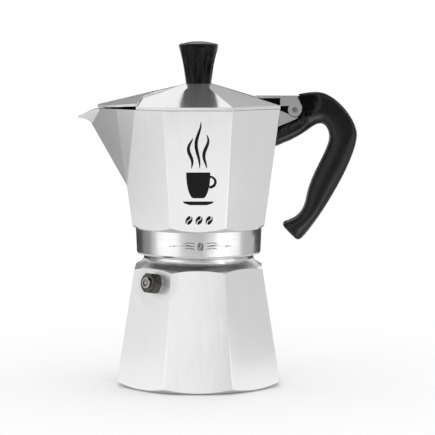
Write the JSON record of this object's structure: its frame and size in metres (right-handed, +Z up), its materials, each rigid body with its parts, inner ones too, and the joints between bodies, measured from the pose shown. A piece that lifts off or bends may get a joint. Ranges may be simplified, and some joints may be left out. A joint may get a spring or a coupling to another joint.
{
  "type": "moka pot",
  "caption": "Eight-sided stovetop coffee maker: boiler with safety valve, funnel, screw-on collector with spout, hinged lid, knob and open handle.",
  "frame": {"origin": "centre of the boiler's resting face, on the axis of the screwed joint", "axes": "+Z up the axis, -X towards the spout, +X towards the handle"},
  "size_m": [0.1761, 0.1028, 0.217],
  "materials": {
    "cast_aluminium": "polished casting with fine turning marks",
    "sheet_aluminium": "satin spun sheet",
    "valve_nickel": "nickel plate",
    "fastener_steel": "plain steel",
    "valve_rubber": "moulded rubber",
    "gasket_rubber": "white silicone",
    "handle_resin": "satin moulded heat-proof resin"
  },
  "bodies": {
    "boiler": {"boiler": "cast_aluminium", "valve_body": "valve_nickel", "valve_washer": "valve_nickel", "valve_cap": "valve_nickel", "valve_spring": "fastener_steel"},
    "valve_plunger": {"valve_plunger": "valve_nickel", "valve_seal": "valve_rubber"},
    "funnel": {"funnel": "sheet_aluminium", "funnel_screen": "sheet_aluminium"},
    "collector": {"collector": "cast_aluminium", "spout": "cast_aluminium", "column": "cast_aluminium", "filter_plate": "sheet_aluminium", "gasket": "gasket_rubber", "handle": "handle_resin", "handle_screw": "fastener_steel", "hinge_pin": "fastener_steel"},
    "lid": {"lid": "cast_aluminium", "lid_knob": "handle_resin", "knob_screw": "fastener_steel", "knob_washer": "fastener_steel"}
  },
  "joints": [
    {"name": "funnel_rise", "type": "slide", "parent": "boiler", "child": "funnel", "axis": [0, 0, 1], "range_m": [0, 0.008]},
    {"name": "unscrew", "type": "hinge", "parent": "funnel", "child": "collector", "pos_m": [0, 0, 0], "axis": [0, 0, 1], "range_deg": [0, 720]},
    {"name": "lid_hinge", "type": "hinge", "parent": "collector", "child": "lid", "pos_m": [0.0607, 0, 0.1739], "axis": [0, 1, 0], "range_deg": [0, 85]},
    {"name": "relief_travel", "type": "slide", "parent": "boiler", "child": "valve_plunger", "axis": [-0.699, -0.699, 0.1514], "range_m": [0, 0.0015], "stiffness_N_per_m": 1500, "springref_m": -0.001, "deforming": ["valve_spring"]}
  ],
  "couplings": [
    {"joint": "funnel_rise", "follows": "unscrew", "m_per_rad": 0.0006366}
  ]
}
